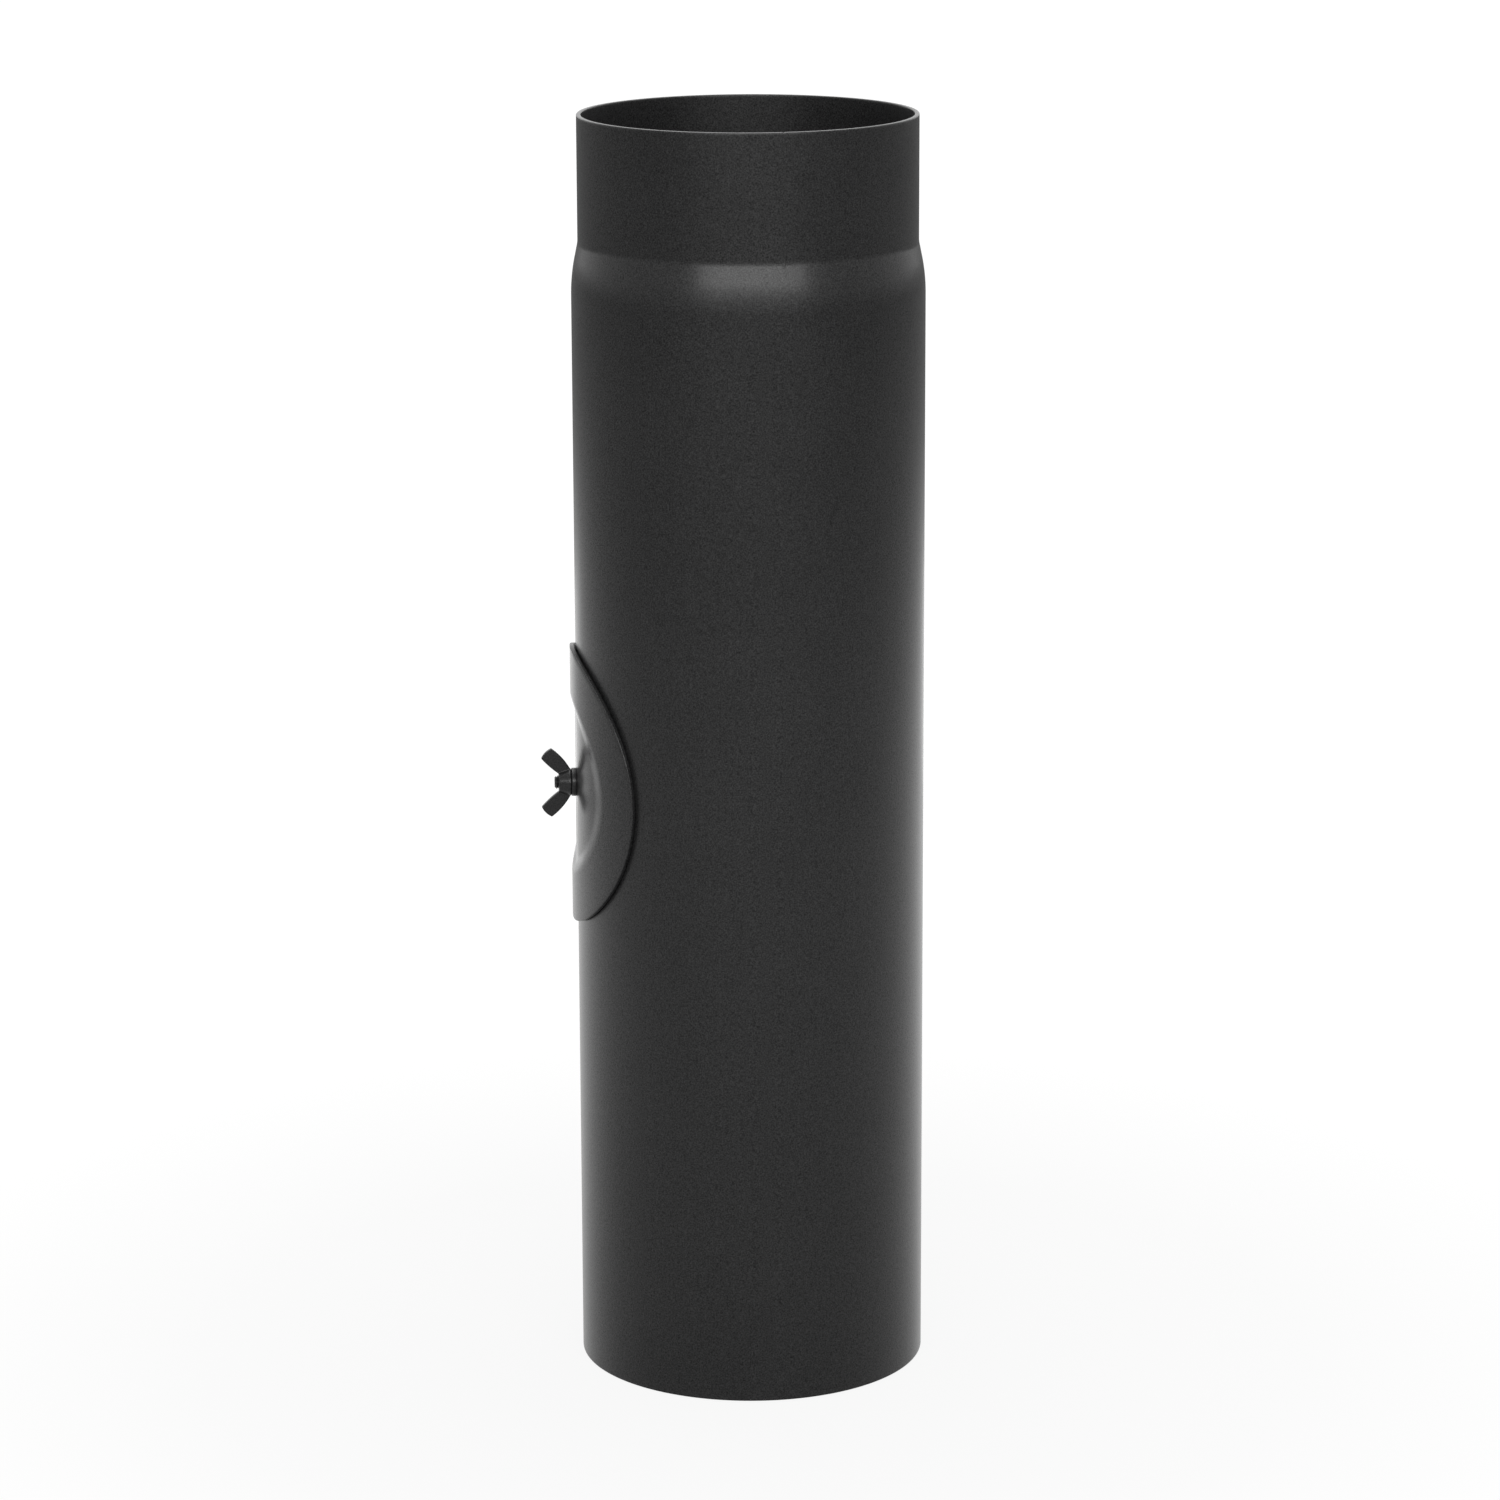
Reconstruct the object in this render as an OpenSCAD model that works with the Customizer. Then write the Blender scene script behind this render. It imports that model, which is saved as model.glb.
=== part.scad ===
// Stove pipe with an inspection door: a rolled steel flue pipe, swaged to a
// spigot at the top and plain at the bottom, where it works as a socket.
// A pressed cover closes a round opening in its side. A wing nut on a bolt
// clamps the cover to the pipe, against a bar that lies inside the wall.
// The origin is on the pipe's axis at its lower end, +Z points to the spigot,
// and the door faces -X.

/* [Pipe] */
// Inside diameter of the body and of the socket
pipe_bore = 150; // [120:1:200]
// Thickness of the pipe's sheet
pipe_wall = 2; // [1.5:0.1:3]
// Height from end to end
pipe_length = 560; // [450:5:1000]

/* [Spigot] */
// Play between this spigot and the socket of the next pipe, on the diameter
spigot_play = 2; // [1:0.1:3]
// Straight length that goes into the next pipe
spigot_length = 54; // [40:1:70]
// Steepest slope of the swage, from the pipe's axis
swage_slope = 11.5; // [9:0.5:20]
// Radius of the hollow bend at the spigot
swage_hollow_r = 12; // [5:1:20]
// Radius of the round shoulder above the body
swage_shoulder_r = 80; // [20:1:80]

/* [Inspection door] */
// Height of the door's centre above the lower end
door_height = 265; // [150:1:330]
// Diameter of the round opening in the pipe's side
opening_d = 86; // [86:1:92]
// Diameter of the cover's blank, before it is rolled to the pipe's curve
cover_d = 123.5; // [110:0.5:130]
// Thickness of the cover's sheet
cover_wall = 2; // [1.5:0.1:2.5]
// Gap between the cover and the pipe
cover_gap = 0.5; // [0.3:0.05:0.7]
// Diameter of the pressed recess
recess_d = 82; // [76:1:84]
// Depth of the recess at the door's centre
recess_depth = 2.2; // [2:0.1:3]
// Radius of the recess's floor, which is flatter than the pipe
floor_curve_r = 105; // [90:5:200]
// Depth of the recess at its two sides
recess_side_depth = 1.2; // [0.6:0.1:1.6]
// Width of the sloping edge around the recess
recess_flank = 9; // [5:0.5:12]

/* [Clamp] */
// Length of the bar that spans the opening
bar_length = 112; // [104:1:130]
// Width of the bar
bar_width = 20; // [16:1:24]
// Thickness of the bar
bar_thickness = 3; // [2.5:0.5:4]
// Gap between the bar and the pipe's inner wall
bar_gap = 0.3; // [0.3:0.05:0.5]
// Thread diameter of the bolt
bolt_d = 6; // [5:0.5:6]
// Length of the bolt below its head
bolt_length = 16; // [15:0.5:20]
// Diameter of the bolt's domed head
bolt_head_d = 14; // [12:0.5:17]
// Height of the bolt's domed head
bolt_head_h = 3.2; // [2.5:0.1:4]

/* [Washer and wing nut] */
// Outside diameter of the washer
washer_d = 12.6; // [12:0.1:14]
// Thickness of the washer
washer_thickness = 2.2; // [1.2:0.1:2.4]
// Diameter of the wing nut's hub at the washer
hub_base_d = 12; // [10:0.1:12]
// Diameter of the wing nut's hub at its outer end
hub_top_d = 9.2; // [8.5:0.1:10]
// Height of the wing nut's hub
hub_height = 5.7; // [5.2:0.1:7]
// Angle of the wings from the nut's axis
wing_angle = 45; // [35:1:55]
// Length of each wing from the hub
wing_length = 11.1; // [8:0.1:12]
// Width of each wing at its free end
wing_end_width = 6.3; // [5.5:0.1:8]
// Width of each wing at the hub
wing_root_width = 4.6; // [4:0.1:5.2]
// Thickness of the wings
wing_thickness = 2.2; // [1.6:0.1:3]

/* [Hidden] */
$fn = 96;
cut = 1;

// Radii of the pipe
bore_r = pipe_bore / 2;
body_r = bore_r + pipe_wall;
spigot_r = bore_r - spigot_play / 2;

// The swage turns out by its slope, runs straight, and turns back to the body
swage_bends_r = swage_hollow_r + swage_shoulder_r;
swage_step = body_r - spigot_r;
swage_bends_out = swage_bends_r * (1 - cos(swage_slope));
swage_bends_up = swage_bends_r * sin(swage_slope);
swage_cone_up = max(swage_step - swage_bends_out, 0) / tan(swage_slope);
swage_scale = min(1, swage_step / swage_bends_out);
swage_height = swage_bends_up * swage_scale + swage_cone_up;
swage_top = pipe_length - spigot_length;
swage_base = swage_top - swage_height;
hollow_steps = 4;
shoulder_steps = 10;

// The cover is a disc rolled to the pipe's curve, with its edge square to the sheet
cover_in_r = body_r + cover_gap;
cover_out_r = cover_in_r + cover_wall;
cover_mid_r = cover_in_r + cover_wall / 2;
recess_r = recess_d / 2;
floor_r = recess_r - recess_flank;
seat_out_x = cover_out_r - recess_depth;
seat_in_x = seat_out_x - cover_wall;
seat_half_w = 7;
seat_blend = 0.1;
floor_blend = 0.8;
cover_sectors = 64;
floor_rings = 4;
flank_rings = 5;
border_rings = 3;
cover_rings = floor_rings + flank_rings + border_rings;

// The clamp's pieces follow each other along the bolt, measured from the pipe's axis
bolt_r = bolt_d / 2;
thread_clearance = 0.05;
bolt_hole_clearance = 0.5;
washer_clearance = 0.2;
bar_half_w = bar_width / 2;
bar_out_x = sqrt(pow(bore_r, 2) - pow(bar_half_w, 2)) - bar_gap;
bar_in_x = bar_out_x - bar_thickness;
bar_corner_r = 3;
neck_clearance = 0.15;
nut_seat_x = seat_out_x + washer_thickness;
bolt_tip_chamfer = 0.7;
dome_steps = 8;

// Outline of a wing, from the point where its middle line leaves the hub
wing_root_r = 5.4;
wing_root_h = 3.2;
wing_heel = 1.6;
wing_front_bow = 0.45;
wing_back_bow = 0.7;
wing_end_bow = 0.6;
wing_corner_r = 0.8;
wing_side_steps = 8;
wing_end_steps = 6;
wing_corner_steps = 4;
hub_edge = 0.5;

// Points on an arc about a centre
function arc(centre, r, from, to, steps) =
    [for (i = [0:steps]) let (a = from + (to - from) * i / steps) centre + r * [cos(a), sin(a)]];

// Points on a shallow bow from p to q that stands out to the right by its rise
function bow(p, q, rise, steps) =
    let (along = q - p, side = [along.y, -along.x] / norm(along))
    [for (i = [0:steps]) let (t = i / steps) p + along * t + side * (4 * rise * t * (1 - t))];

// A step from 0 to 1 that is level at both ends
function ease(t) = let (c = min(max(t, 0), 1)) c * c * (3 - 2 * c);

// The smaller of two heights, with a rounded change from one to the other
function soft_min(a, b, k) = let (h = max(k - abs(a - b), 0) / k) min(a, b) - h * h * k / 4;

// Half section of the pipe's outside from the lower end to the rim
function pipe_outside() =
    let (
        slope = acos(1 - (1 - cos(swage_slope)) * swage_scale),
        shoulder = arc([body_r - swage_shoulder_r, swage_base], swage_shoulder_r, 0, slope, shoulder_steps),
        hollow = arc([spigot_r + swage_hollow_r, swage_top], swage_hollow_r, 180 + slope, 180, hollow_steps)
    )
    concat([[body_r, 0]], shoulder, hollow, [[spigot_r, pipe_length]]);

// The inside has the same section, one sheet thickness nearer to the axis
function pipe_inside() = [for (p = pipe_outside()) p - [pipe_wall, 0]];

function reversed(points) = [for (i = [len(points) - 1:-1:0]) points[i]];

module pipe() {
    color([0.16, 0.16, 0.165])
    difference() {
        rotate_extrude()
            polygon(concat(pipe_outside(), reversed(pipe_inside())));
        on_bolt(bore_r / 2)
            cylinder(d = opening_d, h = bore_r);
    }
}

// Moves a piece that is built along +Z onto the bolt's axis, which points to -X
module on_bolt(x) {
    translate([-x, 0, door_height])
        rotate([0, -90, 0])
            children();
}

// Height of the recess's floor over the pipe's axis: a flat seat for the
// washer, and a gentle curve on either side of it
function floor_x(seat_x, y) =
    let (centre_x = seat_x - sqrt(pow(floor_curve_r, 2) - pow(seat_half_w, 2)))
    soft_min(seat_x, centre_x + sqrt(pow(floor_curve_r, 2) - pow(y, 2)), seat_blend);

// Height of the sheet's face over the pipe's axis, where r is that face's
// radius and pressed says how much of the recess there is, from 0 to 1
function face_x(r, y, seat_x, pressed) =
    let (rolled = sqrt(r * r - y * y), side = sqrt(pow(r - recess_side_depth, 2) - y * y))
    rolled + (soft_min(floor_x(seat_x, y), side, floor_blend) - rolled) * pressed;

// Distance of each ring of points from the door's centre, up to the recess's edge
function ring_r(i) =
    i <= floor_rings ? floor_r * i / floor_rings
                     : floor_r + recess_flank * min(i - floor_rings, flank_rings) / flank_rings;

// Turn about the pipe's axis and height from the door's centre of one point of
// the cover. The rings of the border spread from the recess to the rim.
function cover_place(i, a) =
    let (
        r = ring_r(i),
        at_recess = [asin(r * cos(a) / cover_mid_r), r * sin(a)],
        at_rim = cover_d / 2 * [cos(a) / cover_mid_r * 180 / PI, sin(a)],
        t = max(i - floor_rings - flank_rings, 0) / border_rings
    )
    at_recess * (1 - t) + at_rim * t;

// One point on the outer or the inner face of the cover
function cover_point(i, a, r, seat_x) =
    let (
        place = cover_place(i, a),
        y = r * sin(place[0]),
        pressed = 1 - ease((ring_r(i) - floor_r) / recess_flank)
    )
    [-face_x(r, y, seat_x, pressed), y, place[1]];

// All points of one face: its centre, and then ring after ring
function cover_face(r, seat_x) =
    concat(
        [[-seat_x, 0, 0]],
        [for (i = [1:cover_rings], k = [0:cover_sectors - 1])
            cover_point(i, 360 * k / cover_sectors, r, seat_x)]
    );

// The number of a point within its face
function cover_index(i, k) = i == 0 ? 0 : 1 + (i - 1) * cover_sectors + k % cover_sectors;

// The triangles of one face, seen from outside the pipe
cover_triangles = concat(
    [for (k = [0:cover_sectors - 1]) [0, cover_index(1, k), cover_index(1, k + 1)]],
    [for (i = [1:cover_rings - 1], k = [0:cover_sectors - 1], half = [0, 1])
        half == 0
            ? [cover_index(i, k), cover_index(i + 1, k), cover_index(i + 1, k + 1)]
            : [cover_index(i, k), cover_index(i + 1, k + 1), cover_index(i, k + 1)]]
);

module cover_sheet() {
    outer = cover_face(cover_out_r, seat_out_x);
    inner = cover_face(cover_in_r, seat_in_x);
    n = len(outer);
    rim = [for (k = [0:cover_sectors - 1], half = [0, 1])
        let (a = cover_index(cover_rings, k), b = cover_index(cover_rings, k + 1))
        half == 0 ? [a, a + n, b + n] : [a, b + n, b]];
    inner_side = [for (t = cover_triangles) [t[0] + n, t[2] + n, t[1] + n]];
    polyhedron(points = concat(outer, inner), faces = concat(cover_triangles, inner_side, rim));
}

module door_plate() {
    color([0.2, 0.2, 0.205])
    difference() {
        translate([0, 0, door_height])
            cover_sheet();
        on_bolt(seat_in_x - cut)
            cylinder(r = bolt_r + bolt_hole_clearance, h = cover_wall + 2 * cut);
    }
}

module rounded_plate(length, width, corner_r) {
    square([length - 2 * corner_r, width], center = true);
    square([length, width - 2 * corner_r], center = true);
    for (x = [-1, 1], y = [-1, 1])
        translate([x * (length / 2 - corner_r), y * (width / 2 - corner_r)])
            circle(corner_r);
}

module bridge_bar() {
    color([0.22, 0.22, 0.225])
    on_bolt(bar_in_x)
        linear_extrude(bar_thickness)
            difference() {
                rounded_plate(bar_length, bar_width, bar_corner_r);
                square(bolt_d + 2 * neck_clearance, center = true);
            }
}

// The head is a shallow dome, the neck is square and fills the bar's hole
module carriage_bolt() {
    head_r = bolt_head_d / 2;
    dome_r = (pow(head_r, 2) + pow(bolt_head_h, 2)) / (2 * bolt_head_h);
    dome_half = asin(head_r / dome_r);
    dome = arc([0, dome_r - bolt_head_h], dome_r, -90 + dome_half, -90, dome_steps);
    color([0.24, 0.24, 0.245])
    on_bolt(bar_in_x) {
        rotate_extrude()
            polygon(concat(
                [[0, bolt_length], [bolt_r - bolt_tip_chamfer, bolt_length],
                 [bolt_r, bolt_length - bolt_tip_chamfer], [bolt_r, 0], [head_r, 0]],
                [for (i = [1:len(dome) - 1]) dome[i]]
            ));
        translate([-bolt_r, -bolt_r, 0])
            cube([bolt_d, bolt_d, bar_thickness]);
    }
}

module washer() {
    color([0.2, 0.2, 0.205])
    on_bolt(seat_out_x)
        difference() {
            cylinder(d = washer_d, h = washer_thickness);
            translate([0, 0, -cut])
                cylinder(r = bolt_r + washer_clearance, h = washer_thickness + 2 * cut);
        }
}

// A rounded corner at b between the sides that run to a and to c
function corner(a, b, c, r, steps) =
    let (
        to_a = (a - b) / norm(a - b),
        to_c = (c - b) / norm(c - b),
        half = acos(to_a * to_c) / 2,
        middle = (to_a + to_c) / norm(to_a + to_c),
        centre = b + middle * r / sin(half),
        first = b + to_a * r / tan(half) - centre,
        last = b + to_c * r / tan(half) - centre,
        from = atan2(first.y, first.x),
        turn = (atan2(last.y, last.x) - from + 540) % 360 - 180
    )
    arc(centre, r, from, from + turn, steps);

// Flat outline of a wing: x is the way out along it and y the way across.
// All its edges are bowed out a little.
function wing_outline() =
    let (
        root = wing_root_width / 2,
        end = wing_end_width / 2,
        front = bow([-wing_heel, -root], [wing_length, -end], wing_front_bow, wing_side_steps),
        tip = bow([wing_length, -end], [wing_length, end], wing_end_bow, wing_end_steps),
        back = bow([wing_length, end], [-wing_heel, root], wing_back_bow, wing_side_steps)
    )
    concat(
        [for (i = [0:wing_side_steps - 1]) front[i]],
        corner(front[wing_side_steps - 1], tip[0], tip[1], wing_corner_r, wing_corner_steps),
        [for (i = [1:wing_end_steps - 1]) tip[i]],
        corner(tip[wing_end_steps - 1], back[0], back[1], wing_corner_r, wing_corner_steps),
        [for (i = [1:wing_side_steps]) back[i]]
    );

module wing() {
    translate([wing_root_r, 0, wing_root_h])
        rotate([90, 0, 0])
            linear_extrude(wing_thickness, center = true)
                rotate(90 - wing_angle)
                    mirror([0, 1])
                        polygon(wing_outline());
}

module wing_nut() {
    base_r = hub_base_d / 2;
    top_r = hub_top_d / 2;
    hub = [[0, 0], [base_r - hub_edge, 0], [base_r, hub_edge], [base_r, 2 * hub_edge],
           [top_r, hub_height - hub_edge], [top_r - hub_edge, hub_height], [0, hub_height]];
    color([0.18, 0.18, 0.185])
    on_bolt(nut_seat_x)
        difference() {
            union() {
                rotate_extrude()
                    polygon(hub);
                wing();
                mirror([1, 0, 0])
                    wing();
            }
            translate([0, 0, -cut])
                cylinder(r = bolt_r + thread_clearance, h = hub_height + 2 * cut);
        }
}

pipe();
door_plate();
bridge_bar();
carriage_bolt();
washer();
wing_nut();
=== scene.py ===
import bpy
import bmesh
import math
from mathutils import Matrix, Vector


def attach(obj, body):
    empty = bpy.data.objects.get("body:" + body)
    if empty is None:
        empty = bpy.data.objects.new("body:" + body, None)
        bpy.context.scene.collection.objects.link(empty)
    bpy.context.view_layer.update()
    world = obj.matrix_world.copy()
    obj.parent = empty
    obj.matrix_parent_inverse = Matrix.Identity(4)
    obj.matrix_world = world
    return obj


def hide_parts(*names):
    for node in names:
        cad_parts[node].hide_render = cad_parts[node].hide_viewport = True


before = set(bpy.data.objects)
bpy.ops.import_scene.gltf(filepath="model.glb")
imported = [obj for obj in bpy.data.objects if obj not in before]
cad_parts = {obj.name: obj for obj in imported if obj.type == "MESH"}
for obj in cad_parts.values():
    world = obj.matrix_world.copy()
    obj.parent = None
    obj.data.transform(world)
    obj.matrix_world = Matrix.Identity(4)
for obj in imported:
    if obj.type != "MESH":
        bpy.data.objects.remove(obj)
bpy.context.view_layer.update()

MM = 0.001

# Sizes of the part, in millimetres and degrees, as the CAD has them
BODY_R, WALL, LENGTH = 77.0, 2.0, 560.0
SPIGOT_R, SPIGOT_LENGTH = 74.0, 54.0
SWAGE_SLOPE, SWAGE_HOLLOW_R, SWAGE_SHOULDER_R = 11.5, 12.0, 80.0
DOOR_Z, OPENING_R = 265.0, 43.0
COVER_R, COVER_IN_R, COVER_OUT_R = 61.75, 77.5, 79.5
COVER_MID_R = (COVER_IN_R + COVER_OUT_R) / 2
RECESS_R, RECESS_DEPTH, RECESS_SIDE, RECESS_FLANK = 41.0, 2.2, 1.2, 9.0
FLOOR_R, FLOOR_CURVE_R, SEAT_HALF_W = RECESS_R - RECESS_FLANK, 105.0, 7.0
SEAT_BLEND, FLOOR_BLEND = 0.1, 0.8
SEAT_X = COVER_OUT_R - RECESS_DEPTH
BAR_LENGTH, BAR_WIDTH, BAR_THICKNESS, BAR_GAP = 112.0, 20.0, 3.0, 0.3
BAR_OUT_X = math.sqrt((BODY_R - WALL) ** 2 - (BAR_WIDTH / 2) ** 2) - BAR_GAP
BAR_IN_X = BAR_OUT_X - BAR_THICKNESS
BOLT_R, BOLT_LENGTH, HEAD_R, HEAD_H = 3.0, 16.0, 7.0, 3.2
WASHER_R, WASHER_HOLE_R, WASHER_T = 6.3, 3.2, 2.2
NUT_X = SEAT_X + WASHER_T
HUB_BASE_R, HUB_TOP_R, HUB_H, NUT_BORE_R = 6.0, 4.6, 5.7, 3.05
WING_ANGLE, WING_LENGTH, WING_END, WING_ROOT, WING_T = 45.0, 11.1, 6.3, 4.6, 2.2
WING_ROOT_R, WING_ROOT_H, WING_HEEL = 5.4, 3.2, 1.6
WING_FRONT_BOW, WING_BACK_BOW, WING_END_BOW = 0.45, 0.7, 0.6

# Small forms that only the visual model has, in millimetres
RIM_EDGE, BASE_EDGE, OPENING_EDGE, COVER_EDGE = 0.45, 0.35, 0.3, 0.4
THREAD_PITCH, THREAD_DEPTH = 1.0, 0.55
TIP_LENGTH, TIP_DROP, TIP_SLOPE = 0.9, 0.85, 0.95

# The weld seam. Its place and widths are in degrees from the middle of the door. It is ground
# flat, apart from a bead at the swage and a notch in the rim.
SEAM, SEAM_WIDTH, SEAM_SINK = -96.8, 0.3, 0.03
BEAD_RISE, BEAD_BELOW, BEAD_LENGTH = 0.16, 1.5, 1.6
NOTCH_WIDTH, NOTCH_DEPTH = 0.22, 0.45

# The grid of the pipe's wall, with a patch round the opening that runs in rings instead
COLUMN_STEP = 1.5
SEAM_COLUMNS, SEAM_CLEAR = (-0.6, -0.36, -0.18, 0, 0.18, 0.36, 0.6), 0.9
PATCH_ANGLE, PATCH_H, PATCH_ROWS = 48.0, 62.0, 48
PATCH_RINGS, PATCH_POWER = 12, 1.6
NEAR = 0.01

ROUND = [math.radians(t) for t in (0, 22, 45, 68, 90)]
MERGE_M, FUSE_VOXEL_M = 1e-7, 0.00019


# ---------------------------------------------------------------- mesh helpers

def make(name, points, faces, body, node, smooth):
    """A mesh object from points in millimetres, smooth across edges flatter than smooth degrees."""
    mesh = bpy.data.meshes.new(name)
    mesh.from_pydata([(x * MM, y * MM, z * MM) for x, y, z in points], [], faces)
    bm = bmesh.new()
    bm.from_mesh(mesh)
    bmesh.ops.remove_doubles(bm, verts=bm.verts, dist=MERGE_M)
    bmesh.ops.recalc_face_normals(bm, faces=bm.faces)
    bm.to_mesh(mesh)
    bm.free()
    mesh.shade_smooth()
    mesh.set_sharp_from_angle(angle=math.radians(smooth))
    obj = bpy.data.objects.new(name, mesh)
    bpy.context.scene.collection.objects.link(obj)
    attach(obj, body)
    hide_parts(node)
    return obj


def strip(p, q, along=True):
    """Quads between two closed rings of point numbers, each led along p, or else across to q."""
    quads = zip(p, p[1:] + p[:1], q[1:] + q[:1], q)
    return [[a, b, c, d] if along else [a, d, c, b] for a, b, c, d in quads]


def skin(rings, closed, along=True):
    """Points and faces of a chain of rings that have equal numbers of points."""
    size = len(rings[0])
    numbers = [list(range(i * size, (i + 1) * size)) for i in range(len(rings))]
    if closed:
        numbers.append(numbers[0])
    faces = [quad for p, q in zip(numbers, numbers[1:]) for quad in strip(p, q, along)]
    return [p for ring in rings for p in ring], faces


def turns(count):
    """The angles that divide a full turn."""
    return [2 * math.pi * k / count for k in range(count)]


def arc(cx, cy, r, a0, a1, steps):
    """Points on an arc between two angles in degrees."""
    angles = [math.radians(a0 + (a1 - a0) * i / steps) for i in range(steps + 1)]
    return [(cx + r * math.cos(t), cy + r * math.sin(t)) for t in angles]


def on_bolt(x0, p):
    """From the bolt's own axes, with z outward along it, to the part's frame."""
    x, y, z = p
    return (-x0 - z, y, DOOR_Z + x)


def lathe(profile, x0, segments):
    """Points and faces of a closed profile of (radius, height) turned about the bolt's axis."""
    rings = [[on_bolt(x0, (r * math.cos(a), r * math.sin(a), h)) for r, h in profile]
             for a in turns(segments)]
    return skin(rings, True, False)


# ---------------------------------------------------------------- the pipe

def swage_profile():
    """Points (radius, height) of the swage's shoulder and hollow, and the heights of its ends."""
    step = BODY_R - SPIGOT_R
    bends = SWAGE_HOLLOW_R + SWAGE_SHOULDER_R
    out = bends * (1 - math.cos(math.radians(SWAGE_SLOPE)))
    cone = max(step - out, 0) / math.tan(math.radians(SWAGE_SLOPE))
    height = bends * math.sin(math.radians(SWAGE_SLOPE)) + cone
    top = LENGTH - SPIGOT_LENGTH
    base = top - height
    shoulder = arc(BODY_R - SWAGE_SHOULDER_R, base, SWAGE_SHOULDER_R, 0, SWAGE_SLOPE, 22)
    hollow = arc(SPIGOT_R + SWAGE_HOLLOW_R, top, SWAGE_HOLLOW_R, 180 + SWAGE_SLOPE, 180, 8)
    return shoulder, hollow, base, top


def near_seam(a, width):
    """1 on the seam, and less away from it."""
    d = abs(a - SEAM) / width
    return math.exp(-d * d)


def build_pipe():
    shoulder, hollow, base, top = swage_profile()

    # Rows of (radius, height), and columns in degrees from the middle of the door
    below = (BASE_EDGE, 1.2, 4, 12, 30, 60, 95, 130, 165, 190)
    beside = [DOOR_Z - PATCH_H + 2 * PATCH_H * i / PATCH_ROWS for i in range(PATCH_ROWS + 1)]
    above = (340, 360, 385, 410, 435, 458, base - 10, base - 3)
    spigot = [top + up for up in (3, 8, 16, 26, 36, 45)] + [LENGTH - 3, LENGTH - 1.2]
    rows = [(BODY_R, z) for z in (*below, *beside, *above)] + shoulder + hollow
    rows += [(SPIGOT_R, z) for z in spigot]
    patch_first = len(below)
    patch_last = patch_first + PATCH_ROWS
    half_turn = round(180 / COLUMN_STEP)
    columns = [i * COLUMN_STEP for i in range(-half_turn, half_turn)]
    columns = [a for a in columns if abs(a - SEAM) > SEAM_CLEAR]
    columns = sorted(columns + [SEAM + d for d in SEAM_COLUMNS])
    count = len(columns)

    def seam_rise(a, z):
        bead = math.exp(-((z - top + BEAD_BELOW) / BEAD_LENGTH) ** 2)
        return near_seam(a, SEAM_WIDTH) * (BEAD_RISE * bead - SEAM_SINK)

    def place(r, a, z):
        t = math.radians(a)
        return (-r * math.cos(t), r * math.sin(t), z)

    points, faces, index = [], [], {}

    def vert(key, p):
        index[key] = len(points)
        points.append(p)
        return index[key]

    left, right = -PATCH_ANGLE - NEAR, PATCH_ANGLE - NEAR
    for side, inward in (("out", 0), ("in", WALL)):
        for i, (r, z) in enumerate(rows):
            for k, a in enumerate(columns):
                if not (patch_first < i < patch_last and abs(a) < right):
                    vert((side, i, k), place(r - inward + seam_rise(a, z), a, z))
        for i in range(len(rows) - 1):
            for k, a in enumerate(columns):
                if patch_first <= i < patch_last and left <= a < right:
                    continue
                k2 = (k + 1) % count
                corners = ((i, k), (i, k2), (i + 1, k2), (i + 1, k))
                quad = [index[(side, *corner)] for corner in corners]
                faces.append(quad if side == "out" else quad[::-1])

    # The patch runs from the opening's edge to its border, which lists points of the grid
    across = [k for k, a in enumerate(columns) if abs(a) <= PATCH_ANGLE + NEAR]
    border = [(patch_first, k) for k in across]
    border += [(i, across[-1]) for i in range(patch_first + 1, patch_last + 1)]
    border += [(patch_last, k) for k in across[::-1][1:]]
    border += [(i, across[0]) for i in range(patch_last - 1, patch_first, -1)]

    def on_opening(hole_r, r, i, k):
        """Angle and height on the opening's circle, towards a point of the grid."""
        turn = math.atan2(rows[i][1] - DOOR_Z, math.radians(columns[k]) * BODY_R)
        angle = math.degrees(math.asin(hole_r * math.cos(turn) / r))
        return angle, DOOR_Z + hole_r * math.sin(turn)

    loops = {}
    for side, r in (("out", BODY_R), ("in", BODY_R - WALL)):
        rings = []
        for j in range(PATCH_RINGS):
            t = (j / PATCH_RINGS) ** PATCH_POWER
            ring = []
            for n, (i, k) in enumerate(border):
                a, z = columns[k], rows[i][1]
                hole_a, hole_z = on_opening(OPENING_R + OPENING_EDGE, r, i, k)
                point = place(r, hole_a + (a - hole_a) * t, hole_z + (z - hole_z) * t)
                ring.append(vert((side, "ring", j, n), point))
            rings.append(ring)
        rings.append([index[(side, i, k)] for i, k in border])
        for p, q in zip(rings, rings[1:]):
            faces += strip(p, q) if side == "in" else strip(q, p)
        loops[side] = rings[0]
    wall = [loops["out"]]
    for j, r in enumerate((BODY_R - OPENING_EDGE, BODY_R - WALL + OPENING_EDGE)):
        wall.append([vert(("edge", j, n), place(r, *on_opening(OPENING_R, r, i, k)))
                     for n, (i, k) in enumerate(border)])
    wall.append(loops["in"])
    for p, q in zip(wall, wall[1:]):
        faces += strip(p, q, False)

    def cut_end(name, row, r_out, z_out, way, edge, notch):
        """A cut end with its edges broken. The way is 1 at the top and -1 at the bottom."""
        def height(t):
            return z_out - way * edge + way * edge * math.sin(t)

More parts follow.
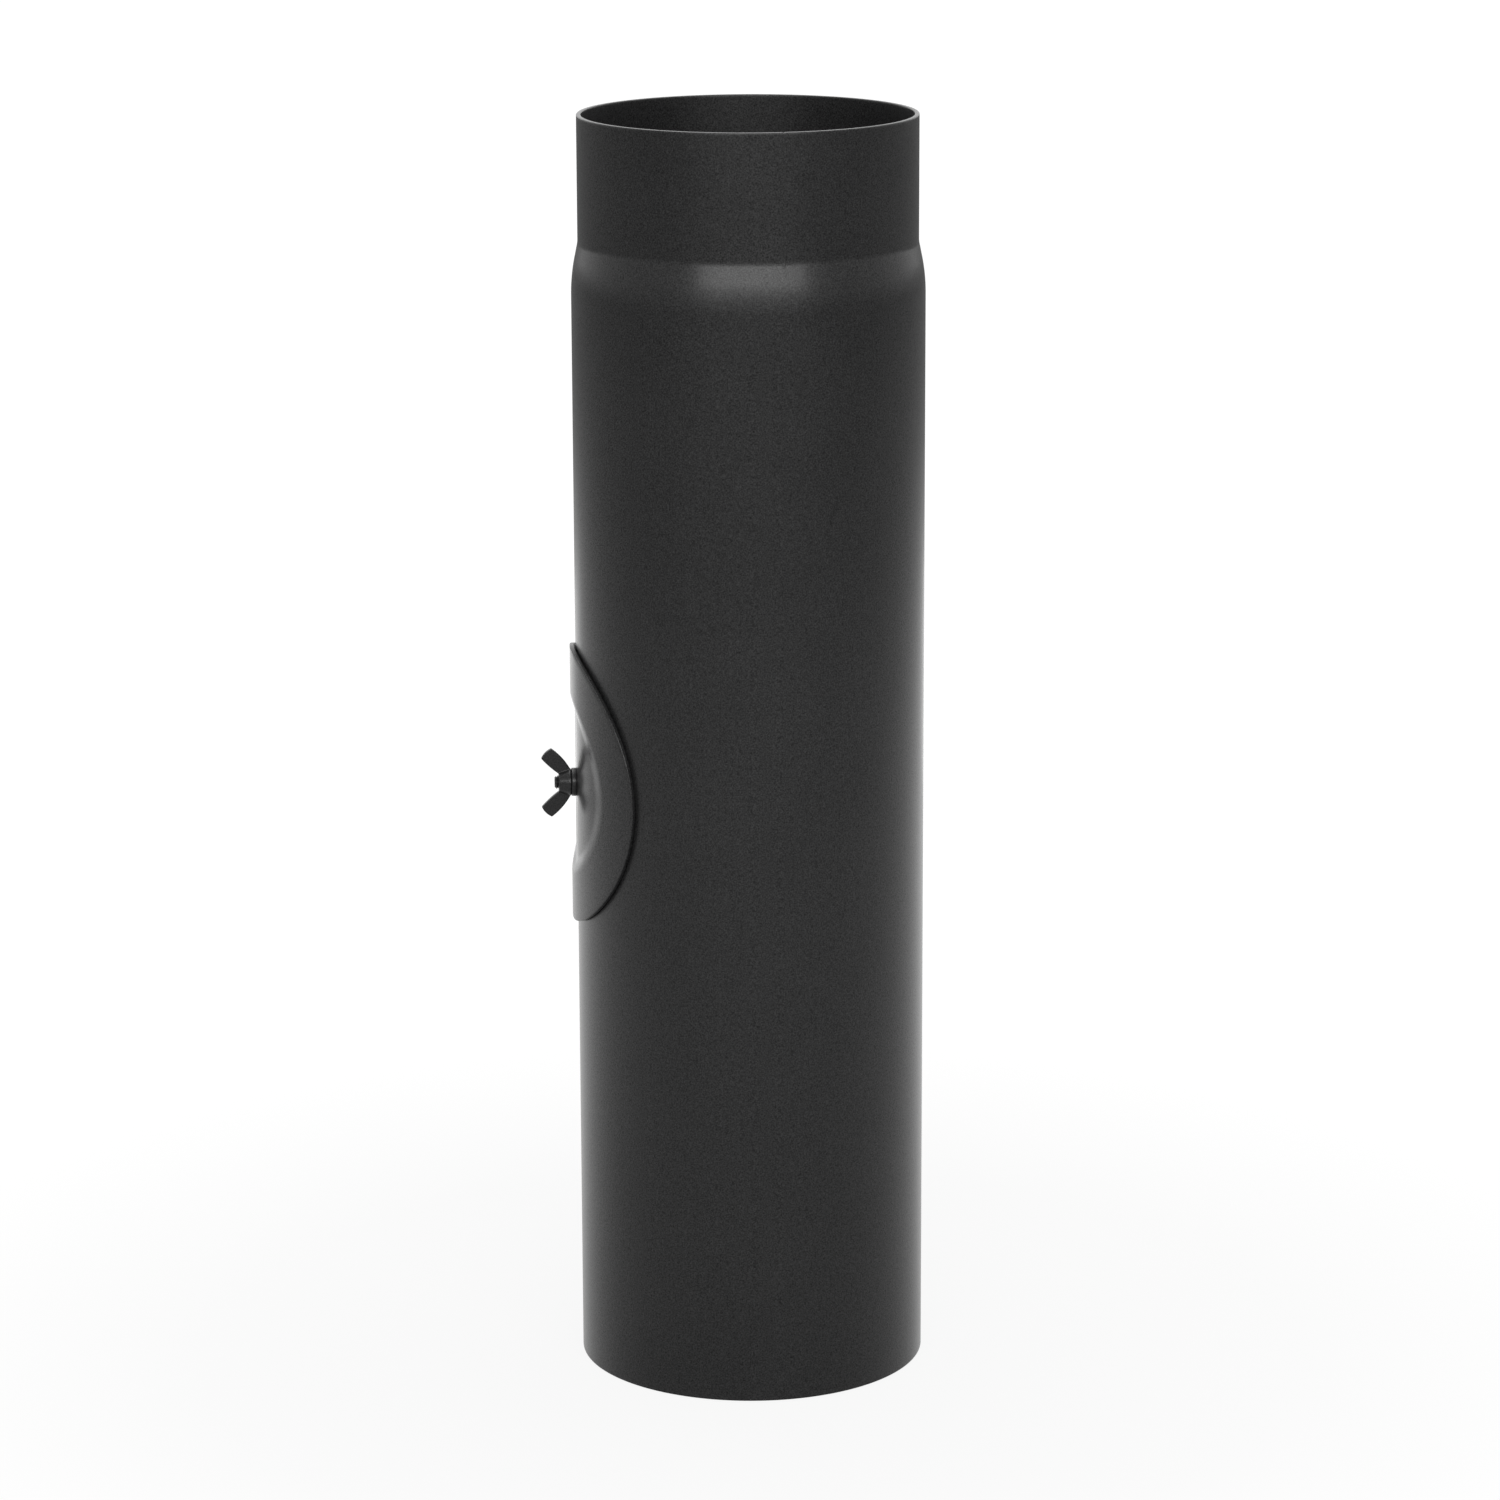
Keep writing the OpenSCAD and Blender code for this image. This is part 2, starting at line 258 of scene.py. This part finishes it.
        profile = [(r_out - edge + edge * math.cos(t), height(t)) for t in ROUND]
        profile += [(r_out - WALL / 2, z_out)]
        profile += [(r_out - WALL + edge - edge * math.cos(t), height(t)) for t in ROUND[::-1]]
        rings = [[index[("out", row, k)] for k in range(count)]]
        for j, (r, z) in enumerate(profile):
            rings.append([vert((name, j, k), place(r, a, z - notch * near_seam(a, NOTCH_WIDTH)))
                          for k, a in enumerate(columns)])
        rings.append([index[("in", row, k)] for k in range(count)])
        for p, q in zip(rings, rings[1:]):
            faces.extend(strip(p, q))

    cut_end("top", len(rows) - 1, SPIGOT_R, LENGTH, 1, RIM_EDGE, NOTCH_DEPTH)
    cut_end("bottom", 0, BODY_R, 0.0, -1, BASE_EDGE, 0)
    return make("pipe_shell", points, faces, "pipe", "pipe", 35)


# ---------------------------------------------------------------- the cover

def ease(t):
    """From 0 to 1, level at both ends."""
    c = min(max(t, 0.0), 1.0)
    return c * c * (3 - 2 * c)


def soft_min(a, b, k):
    """The smaller value, with a rounded change where the two are within k of each other."""
    h = max(k - abs(a - b), 0) / k
    return min(a, b) - h * h * k / 4


def floor_x(seat_x, y):
    """The recess's floor: a flat seat, and a flatter curve than the pipe's on both sides of it."""
    centre = seat_x - math.sqrt(FLOOR_CURVE_R ** 2 - SEAT_HALF_W ** 2)
    return soft_min(seat_x, centre + math.sqrt(FLOOR_CURVE_R ** 2 - y * y), SEAT_BLEND)


def face_x(r, y, seat_x, pressed):
    """How far out a face of the cover lies, from rolled only at 0 pressed to the recess at 1."""
    rolled = math.sqrt(r * r - y * y)
    side = math.sqrt((r - RECESS_SIDE) ** 2 - y * y)
    return rolled + (soft_min(floor_x(seat_x, y), side, FLOOR_BLEND) - rolled) * pressed


def build_cover():
    around = turns(192)
    floor_steps, flank_steps, border_steps = 16, 22, 9
    sheet = COVER_OUT_R - COVER_IN_R
    hole_r, hole_edge = BOLT_R + 0.5, 0.2
    flat_r = COVER_R - COVER_EDGE
    radii = [hole_r + hole_edge + (FLOOR_R - hole_r - hole_edge) * i / floor_steps
             for i in range(floor_steps + 1)]
    radii += [FLOOR_R + RECESS_FLANK * i / flank_steps for i in range(1, flank_steps + 1)]

    def rolled(r, turn, z):
        return (-r * math.cos(turn), r * math.sin(turn), DOOR_Z + z)

    def face(r, seat_x):
        """Rings of one face from the bolt hole to the start of the rounded rim."""
        rings = []
        for q in radii:
            pressed = 1 - ease((q - FLOOR_R) / RECESS_FLANK)
            ring = []
            for a in around:
                y = r * math.sin(math.asin(q * math.cos(a) / COVER_MID_R))
                ring.append((-face_x(r, y, seat_x, pressed), y, DOOR_Z + q * math.sin(a)))
            rings.append(ring)
        for i in range(1, border_steps + 1):
            t = i / border_steps
            ring = []
            for a in around:
                c, s = math.cos(a), math.sin(a)
                recess_turn = math.asin(RECESS_R * c / COVER_MID_R)
                turn = recess_turn * (1 - t) + flat_r * c / COVER_MID_R * t
                ring.append(rolled(r, turn, RECESS_R * s * (1 - t) + flat_r * s * t))
            rings.append(ring)
        return rings

    def rim(t, r, way):
        """A ring of the rounded edge. The way is 1 on the outer face and -1 on the inner one."""
        q = flat_r + COVER_EDGE * math.sin(t)
        r = r - way * COVER_EDGE + way * COVER_EDGE * math.cos(t)
        return [rolled(r, q * math.cos(a) / COVER_MID_R, q * math.sin(a)) for a in around]

    def bore(x):
        return [(-x, hole_r * math.cos(a), DOOR_Z + hole_r * math.sin(a)) for a in around]

    rings = face(COVER_OUT_R, SEAT_X)
    rings += [rim(t, COVER_OUT_R, 1) for t in ROUND[1:]]
    rings += [rim(t, COVER_IN_R, -1) for t in ROUND[:0:-1]]
    rings += face(COVER_IN_R, SEAT_X - sheet)[::-1]
    rings += [bore(SEAT_X - (sheet - hole_edge)), bore(SEAT_X - hole_edge)]
    points, faces = skin(rings, True, False)
    return make("door_cover", points, faces, "door", "door_plate", 50)


# ---------------------------------------------------------------- the clamp

def build_washer():
    e = 0.3
    outer, inner, top = WASHER_R - e, WASHER_HOLE_R + e, WASHER_T - e
    profile = arc(outer, e, e, -90, 0, 3) + arc(outer, top, e, 0, 90, 3)
    profile += arc(inner, top, e, 90, 180, 3) + arc(inner, e, e, 180, 270, 3)
    points, faces = lathe(profile, SEAT_X, 96)
    return make("washer_ring", points, faces, "door", "washer", 50)


def thread_r(z, turn):
    """Radius of the thread at a height and a turn, run out at the tip."""
    slope, crest = 1.25, 0.1
    t = (z / THREAD_PITCH - turn / (2 * math.pi)) % 1.0
    tooth = min(max(abs(t - 0.5) * 2 * slope - crest, 0), 1)
    r = BOLT_R - THREAD_DEPTH * tooth
    tip = BOLT_LENGTH - z
    if tip < TIP_LENGTH:
        r = min(r, BOLT_R - TIP_DROP + tip * TIP_SLOPE)
    return r


def build_bolt():
    segments, step = 64, 1 / 12
    dome_r = (HEAD_R ** 2 + HEAD_H ** 2) / (2 * HEAD_H)
    half = math.degrees(math.asin(HEAD_R / dome_r))

    def circle(r, h):
        return [(r * math.cos(a), r * math.sin(a), h) for a in turns(segments)]

    def square(s, h):
        """A square of half width s with cut corners."""
        corner = 0.5
        ring = []
        for a in turns(segments):
            c, n = math.cos(a), math.sin(a)
            m = max(abs(c), abs(n))
            x, y = c / m * s, n / m * s
            d = max(abs(x) + abs(y) - (2 * s - corner), 0) / 2
            ring.append((x - math.copysign(d, x), y - math.copysign(d, y), h))
        return ring

    def thread(z):
        radii = [(a, thread_r(z, a)) for a in turns(segments)]
        return [(r * math.cos(a), r * math.sin(a), z) for a, r in radii]

    # The domed head, the square neck in the bar, the threaded shank and its tip
    head = arc(0, dome_r - HEAD_H, dome_r, -90, -90 + half - 3, 14)[1:]
    head += [(HEAD_R - 0.1, -0.42), (HEAD_R, -0.25), (HEAD_R - 0.12, -0.02), (HEAD_R - 0.3, 0),
             (4.5, 0)]
    rings = [circle(r, h) for r, h in head]
    rings += [square(BOLT_R + 0.05, 0.0), square(BOLT_R, 0.15),
              square(BOLT_R, BAR_THICKNESS - 0.4), square(BOLT_R - 0.15, BAR_THICKNESS - 0.05)]
    z = BAR_THICKNESS
    while z < BOLT_LENGTH - 1e-6:
        rings.append(thread(z))
        z += step
    rings += [circle(2.05, BOLT_LENGTH - 0.02), circle(1.9, BOLT_LENGTH), circle(1.0, BOLT_LENGTH)]

    points, faces = skin(rings, False)
    last = len(points) - segments
    points += [(0, 0, -HEAD_H), (0, 0, BOLT_LENGTH)]
    for k in range(segments):
        m = (k + 1) % segments
        faces += [[m, k, len(points) - 2], [last + k, last + m, len(points) - 1]]
    points = [on_bolt(BAR_IN_X, p) for p in points]
    return make("bolt_thread", points, faces, "bridge", "carriage_bolt", 40)


def build_bar():
    """The bar has sheared ends with round corners and slightly broken edges."""
    half_l, half_w, corner = BAR_LENGTH / 2, BAR_WIDTH / 2, 3.0
    edge, mid, top = 0.35, 0.1, BAR_THICKNESS
    hole_half = BOLT_R + 0.15

    def outline(inset):
        pts = []
        for cx, cy, a0 in ((1, 1, 0), (-1, 1, 90), (-1, -1, 180), (1, -1, 270)):
            x, y = cx * (half_l - corner), cy * (half_w - corner)
            pts += arc(x, y, corner - inset, a0, a0 + 90, 8)
        return pts

    # The square hole has one point for each point of the outline
    hole = []
    for x, y in outline(0):
        m = max(abs(x) / half_l, abs(y) / half_w)
        hole.append((x / m * hole_half / half_l, y / m * hole_half / half_w))

    sides = ((edge, 0), (mid, mid), (0, edge), (0, top - edge), (mid, top - mid), (edge, top))
    levels = [(outline(inset), h) for inset, h in sides] + [(hole, top), (hole, 0)]
    rings = [[on_bolt(BAR_IN_X, (x, y, h)) for x, y in pts] for pts, h in levels]
    points, faces = skin(rings, True)
    return make("bridge_strap", points, faces, "bridge", "bridge_bar", 40)


def wing_outline():
    """Outline of a wing as (radius, height) from the nut's axis and seat."""
    root, tip, steps = WING_ROOT / 2, WING_END / 2, 12

    def bow(u0, v0, u1, v1, rise_u, rise_v):
        pts = []
        for i in range(steps + 1):
            t = i / steps
            k = 4 * t * (1 - t)
            pts.append((u0 + (u1 - u0) * t + rise_u * k, v0 + (v1 - v0) * t + rise_v * k))
        return pts

    front = bow(-WING_HEEL, -root, WING_LENGTH, -tip, 0, -WING_FRONT_BOW)
    end = bow(WING_LENGTH, -tip, WING_LENGTH, tip, WING_END_BOW, 0)
    back = bow(WING_LENGTH, tip, -WING_HEEL, root, 0, WING_BACK_BOW)
    a = math.radians(90 - WING_ANGLE)
    out = []
    for u, v in front + end[1:-1] + back:
        x = u * math.cos(a) + v * math.sin(a)
        y = u * math.sin(a) - v * math.cos(a)
        out.append((max(WING_ROOT_R + x, NUT_BORE_R + 0.4), WING_ROOT_H + y))
    return out


def build_wing_nut():
    """The hub and both wings, fused and softened into one casting."""
    e, small, bore_edge = 0.5, 0.15, 0.3
    hub = [(NUT_BORE_R + bore_edge, 0), (HUB_BASE_R - e, 0), (HUB_BASE_R - small, small),
           (HUB_BASE_R, e), (HUB_BASE_R, 2 * e), (HUB_TOP_R, HUB_H - e),
           (HUB_TOP_R - small, HUB_H - small), (HUB_TOP_R - e, HUB_H),
           (NUT_BORE_R + bore_edge, HUB_H), (NUT_BORE_R, HUB_H - bore_edge),
           (NUT_BORE_R, bore_edge)]
    points, faces = lathe(hub, NUT_X, 128)
    shape = wing_outline()
    n = len(shape)
    for side in (1, -1):
        base = len(points)
        for t in (-WING_T / 2, WING_T / 2):
            points += [on_bolt(NUT_X, (side * x, t, h)) for x, h in shape]
        near, far = list(range(base, base + n)), list(range(base + n, base + 2 * n))
        faces += [near, far[::-1]] + strip(near, far, False)
    obj = make("wing_nut_cast", points, faces, "wing_nut", "wing_nut", 180)
    fuse = obj.modifiers.new("fuse", "REMESH")
    fuse.mode, fuse.voxel_size = "VOXEL", FUSE_VOXEL_M
    soften = obj.modifiers.new("soften", "SMOOTH")
    soften.factor, soften.iterations = 0.5, 5
    bpy.context.view_layer.update()
    graph = bpy.context.evaluated_depsgraph_get()
    mesh = bpy.data.meshes.new_from_object(obj.evaluated_get(graph))
    obj.modifiers.clear()
    obj.data = mesh
    mesh.shade_smooth()
    return obj


pipe = build_pipe()
cover = build_cover()
washer = build_washer()
bolt = build_bolt()
bar = build_bar()
nut = build_wing_nut()


# ---------------------------------------------------------------- shader nodes

def maths(tree, op, a, b):
    """A Math node on two values, each a number or a socket."""
    node = tree.nodes.new("ShaderNodeMath")
    node.operation = op
    for socket, value in zip(node.inputs, (a, b)):
        if isinstance(value, (int, float)):
            socket.default_value = value
        else:
            tree.links.new(value, socket)
    return node.outputs[0]


def remap(tree, value, from_min, from_max, to_min, to_max):
    """A socket's value, taken from one range to another."""
    node = tree.nodes.new("ShaderNodeMapRange")
    for socket, limit in (("From Min", from_min), ("From Max", from_max),
                          ("To Min", to_min), ("To Max", to_max)):
        node.inputs[socket].default_value = limit
    tree.links.new(value, node.inputs["Value"])
    return node.outputs["Result"]


def finish_with_mix(tree, output, fac, low, high):
    """Ends a node tree in a mix of two shaders: low where fac is 0, and high where it is 1."""
    mix = tree.nodes.new("ShaderNodeMixShader")
    tree.links.new(fac, mix.inputs["Fac"])
    tree.links.new(low.outputs[0], mix.inputs[1])
    tree.links.new(high.outputs[0], mix.inputs[2])
    tree.links.new(mix.outputs[0], tree.nodes.new(output).inputs["Surface"])


# ---------------------------------------------------------------- materials

COAT_ROUGH, COAT_IOR = 0.26, 1.22
SPECK_SCALE, CLOUD_SCALE = 1700, 22
NOISE_LOW, NOISE_HIGH = 0.25, 0.75
MOTTLE, ROUGH_SPREAD = 0.14, 0.05
GRIT, GRIT_M = 0.45, 0.0001


def paint(name, base, rough, specular, grain=0.8):
    """Matt heat-resistant paint with a fine grit, a slow mottling, and a gloss at low angles."""
    mat = bpy.data.materials.new(name)
    mat.use_nodes = True
    tree = mat.node_tree
    nodes, links = tree.nodes, tree.links
    bsdf = nodes["Principled BSDF"]
    bsdf.inputs["Coat Weight"].default_value = 1.0
    bsdf.inputs["Coat Roughness"].default_value = COAT_ROUGH
    bsdf.inputs["Coat IOR"].default_value = COAT_IOR
    coord = nodes.new("ShaderNodeTexCoord")

    def noise(scale, detail, roughness=0.5):
        node = nodes.new("ShaderNodeTexNoise")
        for socket, value in (("Scale", scale), ("Detail", detail), ("Roughness", roughness)):
            node.inputs[socket].default_value = value
        links.new(coord.outputs["Object"], node.inputs["Vector"])
        return node.outputs["Fac"]

    def spread(value, low, high):
        return remap(tree, value, NOISE_LOW, NOISE_HIGH, low, high)

    specks = noise(SPECK_SCALE, 2)
    clouds = noise(CLOUD_SCALE, 4, 0.6)
    tone = maths(tree, "MULTIPLY", spread(specks, 1 - grain, 1 + grain),
                 spread(clouds, 1 - MOTTLE, 1 + MOTTLE))
    tint = nodes.new("ShaderNodeVectorMath")
    tint.operation = "SCALE"
    tint.inputs[0].default_value = base
    links.new(tone, tint.inputs["Scale"])
    links.new(tint.outputs["Vector"], bsdf.inputs["Base Color"])
    links.new(spread(specks, specular * (1 - grain), specular * (1 + grain)),
              bsdf.inputs["Specular IOR Level"])
    both = maths(tree, "ADD", maths(tree, "MULTIPLY", specks, 0.5),
                 maths(tree, "MULTIPLY", clouds, 0.5))
    links.new(spread(both, rough - ROUGH_SPREAD, rough + ROUGH_SPREAD), bsdf.inputs["Roughness"])
    bump = nodes.new("ShaderNodeBump")
    bump.inputs["Strength"].default_value = GRIT
    bump.inputs["Distance"].default_value = GRIT_M
    links.new(noise(SPECK_SCALE * 0.8, 3), bump.inputs["Height"])
    links.new(bump.outputs["Normal"], bsdf.inputs["Normal"])
    return mat


pipe_paint = paint("pipe_paint", (0.0105, 0.0105, 0.0107), 0.42, 0.14)
door_paint = paint("door_paint", (0.0135, 0.0135, 0.0137), 0.42, 0.15)
inner_paint = paint("inner_paint", (0.012, 0.012, 0.0122), 0.5, 0.1)
fastener_paint = paint("fastener_paint", (0.009, 0.009, 0.0092), 0.36, 0.16, grain=0.5)
for obj, mat in ((pipe, pipe_paint), (cover, door_paint), (washer, fastener_paint),
                 (bolt, fastener_paint), (bar, inner_paint), (nut, fastener_paint)):
    obj.data.materials.clear()
    obj.data.materials.append(mat)


# ---------------------------------------------------------------- world, floor and lights

AMBIENT = 0.15
FLOOR_HALF, FLOOR_DROP, FLOOR_WHITE = 12.0, 0.0006, 1.06

# Two distances from the pipe's axis, in metres, and the values at them
# The paper's colour is painted darker towards the pipe, as painted shade around its base
PAPER_PAINTED_SHADE = (0.1, 0.9, 0.36, 0.8)
WHITE_TO_CAMERA = (0.25, 0.8, 0.85, 1.0)
# The glow that glossy and transmission rays see is painted dimmer near the pipe, as painted shade
# in its reflection
GLOSS_GLOW_PAINTED_SHADE = (0.1, 0.9, 0.62, 1.0)
# That glow fades to nothing far off, as painted light falloff where the lamps no longer reach
GLOSS_PAINTED_FALLOFF = (1.2, 2.4, 1.0, 0.0)

scene = bpy.context.scene


def build_world():
    """A dim world, which the camera, glossy rays and transmission rays see as white."""
    world = bpy.data.worlds.new("studio")
    scene.world = world
    world.use_nodes = True
    tree = world.node_tree
    tree.nodes.clear()

    def white(strength):
        node = tree.nodes.new("ShaderNodeBackground")
        node.inputs["Color"].default_value = (1, 1, 1, 1)
        node.inputs["Strength"].default_value = strength
        return node

    path = tree.nodes.new("ShaderNodeLightPath").outputs
    seen = maths(tree, "MAXIMUM", path["Is Camera Ray"], path["Is Glossy Ray"])
    seen = maths(tree, "MAXIMUM", seen, path["Is Transmission Ray"])
    finish_with_mix(tree, "ShaderNodeOutputWorld", seen, white(AMBIENT), white(1.0))


def build_floor():
    """The camera sees a white floor with the object's shadow near it, deepened by painted shade:
    the paper's colour darkens towards the pipe. Glossy and transmission rays see the same white as
    a glow, painted dimmer near the pipe and fading where the lit floor ends."""
    half = FLOOR_HALF
    mesh = bpy.data.meshes.new("floor")
    mesh.from_pydata([(-half, -half, 0), (half, -half, 0), (half, half, 0), (-half, half, 0)],
                     [], [[0, 1, 2, 3]])
    floor = bpy.data.objects.new("floor", mesh)
    floor.location = (0, 0, -FLOOR_DROP)
    scene.collection.objects.link(floor)

    mat = bpy.data.materials.new("floor_paper")
    mat.use_nodes = True
    tree = mat.node_tree
    tree.nodes.clear()
    place = tree.nodes.new("ShaderNodeTexCoord")
    away = tree.nodes.new("ShaderNodeVectorMath")
    away.operation = "LENGTH"
    tree.links.new(place.outputs["Object"], away.inputs[0])

    def by_distance(span):
        return remap(tree, away.outputs["Value"], *span)

    paper = tree.nodes.new("ShaderNodeBsdfDiffuse")
    # The paper's colour carries the painted shade near the pipe
    tree.links.new(by_distance(PAPER_PAINTED_SHADE), paper.inputs["Color"])
    glow = tree.nodes.new("ShaderNodeEmission")
    glow.inputs["Strength"].default_value = FLOOR_WHITE
    path = tree.nodes.new("ShaderNodeLightPath").outputs
    mirror = maths(tree, "MAXIMUM", path["Is Glossy Ray"], path["Is Transmission Ray"])
    seen = maths(tree, "MULTIPLY", path["Is Camera Ray"], by_distance(WHITE_TO_CAMERA))
    # Painted light for glossy and transmission rays: painted shade near the pipe, painted falloff
    # far off
    painted_gloss_glow = maths(tree, "MULTIPLY", by_distance(GLOSS_GLOW_PAINTED_SHADE), by_distance(GLOSS_PAINTED_FALLOFF))
    glowing = maths(tree, "ADD", seen, maths(tree, "MULTIPLY", mirror, painted_gloss_glow))
    finish_with_mix(tree, "ShaderNodeOutputMaterial", glowing, paper, glow)
    mesh.materials.append(mat)


def softbox(name, azimuth, elevation, distance, target, width, height, power):
    """A rectangular light that faces target, from an azimuth where 0 is -Y and 90 is +X."""
    data = bpy.data.lights.new(name, "AREA")
    data.shape = "RECTANGLE"
    data.size, data.size_y = width, height
    data.energy = power
    obj = bpy.data.objects.new(name, data)
    a, e = math.radians(azimuth), math.radians(elevation)
    back = Vector((math.sin(a) * math.cos(e), -math.cos(a) * math.cos(e), math.sin(e)))
    obj.location = Vector(target) + back * distance
    obj.rotation_mode = "QUATERNION"
    obj.rotation_quaternion = (-back).to_track_quat("-Z", "Y")
    scene.collection.objects.link(obj)


build_world()
build_floor()
softbox("key", -2.5, 18, 1.9, (0, 0, 0.49), 2.5, 0.5, 36)
softbox("overhead", 0, 89.9, 1.5, (0, 0.3, 0), 1.0, 1.3, 12)
softbox("side", 100, 50, 1.8, (0, 0, 0.27), 1.0, 0.7, 3.3)
softbox("backdrop", 180, 4, 1.0, (0, 0, 0.005), 1.1, 0.15, 0.26)


# ---------------------------------------------------------------- camera

# Fitted to the photograph: distances in body radii, angles in radians, focal length in pixels
CAMERA_BACK, CAMERA_UP = 28.16118 * (BODY_R * MM), 10.47466 * (BODY_R * MM)
CAMERA_PITCH, CAMERA_ROLL, CAMERA_F = 0.23928, -0.00353, 5027.51
CAMERA_TURN = math.radians(5)
SENSOR_MM, IMAGE_PX = 36, 1500


def build_camera():
    data = bpy.data.cameras.new("camera")
    data.sensor_width = SENSOR_MM
    data.lens = CAMERA_F * SENSOR_MM / IMAGE_PX
    data.clip_end = 50
    cam = bpy.data.objects.new("camera", data)
    scene.collection.objects.link(cam)
    sin_t, cos_t = math.sin(CAMERA_TURN), math.cos(CAMERA_TURN)
    sin_p, cos_p = math.sin(CAMERA_PITCH), math.cos(CAMERA_PITCH)
    sin_r, cos_r = math.sin(CAMERA_ROLL), math.cos(CAMERA_ROLL)
    forward = Vector((sin_t * cos_p, cos_t * cos_p, -sin_p))
    up = Vector((sin_t * sin_p, cos_t * sin_p, cos_p))
    right = Vector((cos_t, -sin_t, 0))
    right, up = right * cos_r + up * sin_r, up * cos_r - right * sin_r
    cam.matrix_world = Matrix((
        (right.x, up.x, -forward.x, -CAMERA_BACK * sin_t),
        (right.y, up.y, -forward.y, -CAMERA_BACK * cos_t),
        (right.z, up.z, -forward.z, CAMERA_UP),
        (0, 0, 0, 1),
    ))
    scene.camera = cam


build_camera()
scene.view_settings.view_transform = "Standard"
